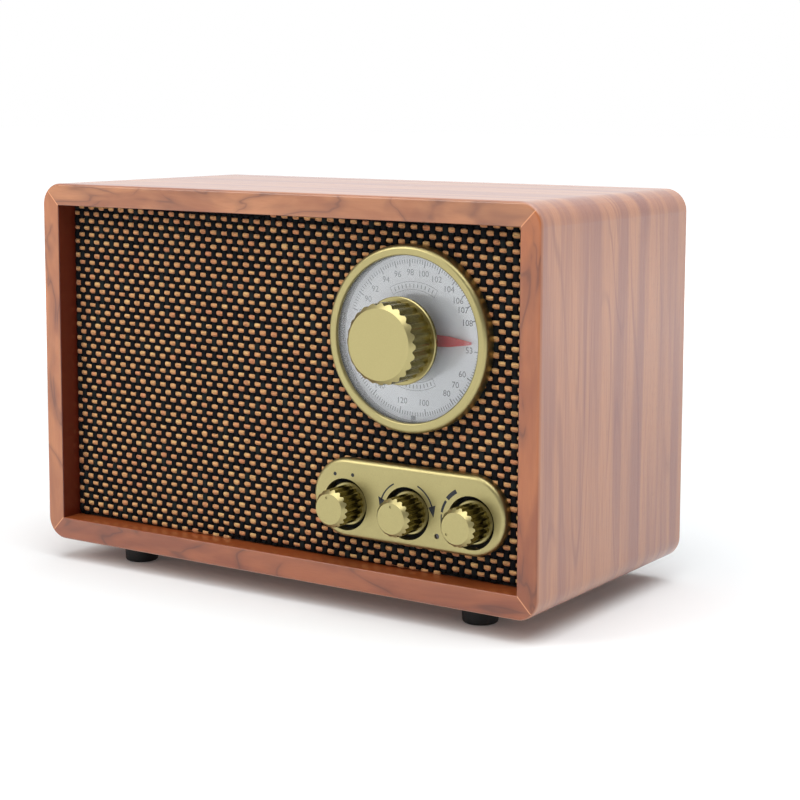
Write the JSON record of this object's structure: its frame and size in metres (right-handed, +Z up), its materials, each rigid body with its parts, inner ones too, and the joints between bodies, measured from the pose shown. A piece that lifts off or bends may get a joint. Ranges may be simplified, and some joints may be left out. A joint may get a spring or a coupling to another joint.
{
  "type": "tabletop radio",
  "caption": "Wooden tabletop radio with woven grille, round geared dial, ribbed metal-finish knobs, control panel, loudspeaker and folding telescopic rear aerial.",
  "frame": {"origin": "middle of the whole radio's footprint, on the surface it stands on, with the tuning knob counted in the depth", "axes": "+Z up; +X to the right of someone facing the dial; -Y out of the front, +Y out of the back"},
  "size_m": [0.24, 0.1314, 0.16],
  "materials": {
    "veneer": "satin veneer",
    "batten_wood": "sawn",
    "fibreboard": "black stained board",
    "grille_fabric": "thick plain weave",
    "gold_metal": "fine satin",
    "clear_pane": "clear",
    "grey_ring": "gloss",
    "dial_card": "printed matte",
    "red_needle": "gloss",
    "brass": "turned",
    "nylon": "matte",
    "steel": "brushed",
    "zinc": "zinc plated",
    "lamp": "clear dark red",
    "black_plastic": "matte",
    "phenolic": "matte",
    "basket_metal": "satin black",
    "cone_paper": "pressed pulp",
    "soft_rubber": "matte",
    "ferrite": "sintered",
    "board_green": "solder mask",
    "part_mix": "component cases",
    "copper_coil": "enamelled wire on card",
    "chrome_tube": "plated",
    "foot_rubber": "matte"
  },
  "bodies": {
    "cabinet": {"cabinet_top": "veneer", "cabinet_bottom": "veneer", "cabinet_left": "veneer", "cabinet_right": "veneer", "cabinet_battens": "batten_wood", "baffle_board": "fibreboard", "grille_cloth": "grille_fabric", "dial_bezel": "gold_metal", "dial_window": "clear_pane", "dial_spacer": "grey_ring", "dial_plate": "dial_card", "sleeve_bush": "nylon", "gear_plate": "steel", "spindle_bush": "brass", "gear_pillars": "steel", "gear_screws": "zinc", "capacitor_body": "nylon", "control_panel": "gold_metal", "power_lamp": "lamp", "control_bracket": "steel", "band_switch": "phenolic", "tone_pot": "basket_metal", "volume_pot": "basket_metal", "control_nuts": "zinc", "speaker_basket": "basket_metal", "speaker_magnet": "ferrite", "speaker_screws": "zinc", "main_board": "board_green", "board_parts": "part_mix", "ferrite_rod": "ferrite", "ferrite_coil": "copper_coil", "rod_holders": "nylon", "rear_panel": "fibreboard", "rear_screws": "zinc", "dc_inlet": "black_plastic", "rear_jacks": "black_plastic", "aerial_bracket": "zinc", "feet": "foot_rubber"},
    "tuning_control": {"tuning_knob": "gold_metal", "tuning_spindle": "steel", "spindle_pinion": "brass"},
    "idler": {"idler_gear": "nylon"},
    "needle": {"pointer": "red_needle", "pointer_sleeve": "brass", "pointer_wheel": "brass"},
    "capacitor_rotor": {"capacitor_shaft": "brass", "capacitor_gear": "brass"},
    "band_control": {"band_knob": "gold_metal", "band_shaft": "steel"},
    "tone_control": {"tone_knob": "gold_metal", "tone_shaft": "steel"},
    "volume_control": {"volume_knob": "gold_metal", "volume_shaft": "steel"},
    "cone_assembly": {"speaker_cone": "cone_paper", "speaker_surround": "soft_rubber", "speaker_dust_cap": "cone_paper"},
    "aerial_fork": {"aerial_knuckle": "zinc"},
    "aerial_base": {"aerial_base_tube": "chrome_tube"},
    "aerial_middle": {"aerial_middle_tube": "chrome_tube"},
    "aerial_end": {"aerial_rod": "chrome_tube"}
  },
  "joints": [
    {"name": "tuning_turn", "type": "hinge", "parent": "cabinet", "child": "tuning_control", "pos_m": [0.06, -0.0523, 0.1068], "axis": [0, 1, 0], "range_deg": [-540, 0]},
    {"name": "idler_turn", "type": "hinge", "parent": "cabinet", "child": "idler", "pos_m": [0.06, -0.0283, 0.1248], "axis": [0, 1, 0], "range_deg": [0, 270]},
    {"name": "needle_turn", "type": "hinge", "parent": "cabinet", "child": "needle", "pos_m": [0.06, -0.0373, 0.1068], "axis": [0, 1, 0], "range_deg": [-180, 0]},
    {"name": "capacitor_turn", "type": "hinge", "parent": "cabinet", "child": "capacitor_rotor", "pos_m": [0.0384, -0.0223, 0.1068], "axis": [0, 1, 0], "range_deg": [0, 180]},
    {"name": "band_turn", "type": "hinge", "parent": "cabinet", "child": "band_control", "pos_m": [0.0317, -0.0473, 0.0408], "axis": [0, 1, 0], "range_deg": [0, 30]},
    {"name": "tone_turn", "type": "hinge", "parent": "cabinet", "child": "tone_control", "pos_m": [0.06, -0.0473, 0.0408], "axis": [0, 1, 0], "range_deg": [-140, 140]},
    {"name": "volume_turn", "type": "hinge", "parent": "cabinet", "child": "volume_control", "pos_m": [0.0883, -0.0473, 0.0408], "axis": [0, 1, 0], "range_deg": [0, 280]},
    {"name": "cone_travel", "type": "slide", "parent": "cabinet", "child": "cone_assembly", "axis": [0, -1, 0], "range_m": [-0.001, 0.001], "stiffness_N_per_m": 1500},
    {"name": "aerial_roll", "type": "hinge", "parent": "cabinet", "child": "aerial_fork", "pos_m": [0.103, 0.0607, 0.129], "axis": [1, 0, 0], "range_deg": [-60, 60]},
    {"name": "aerial_elbow", "type": "hinge", "parent": "aerial_fork", "child": "aerial_base", "pos_m": [0.093, 0.0607, 0.129], "axis": [0, 0, -1], "range_deg": [0, 90]},
    {"name": "aerial_middle_slide", "type": "slide", "parent": "aerial_base", "child": "aerial_middle", "axis": [-1, 0, 0], "range_m": [0, 0.052]},
    {"name": "aerial_end_slide", "type": "slide", "parent": "aerial_middle", "child": "aerial_end", "axis": [-1, 0, 0], "range_m": [0, 0.052]}
  ],
  "couplings": [
    {"joint": "idler_turn", "follows": "tuning_turn", "ratio": -0.5},
    {"joint": "needle_turn", "follows": "tuning_turn", "ratio": 0.33333},
    {"joint": "capacitor_turn", "follows": "tuning_turn", "ratio": -0.33333}
  ]
}
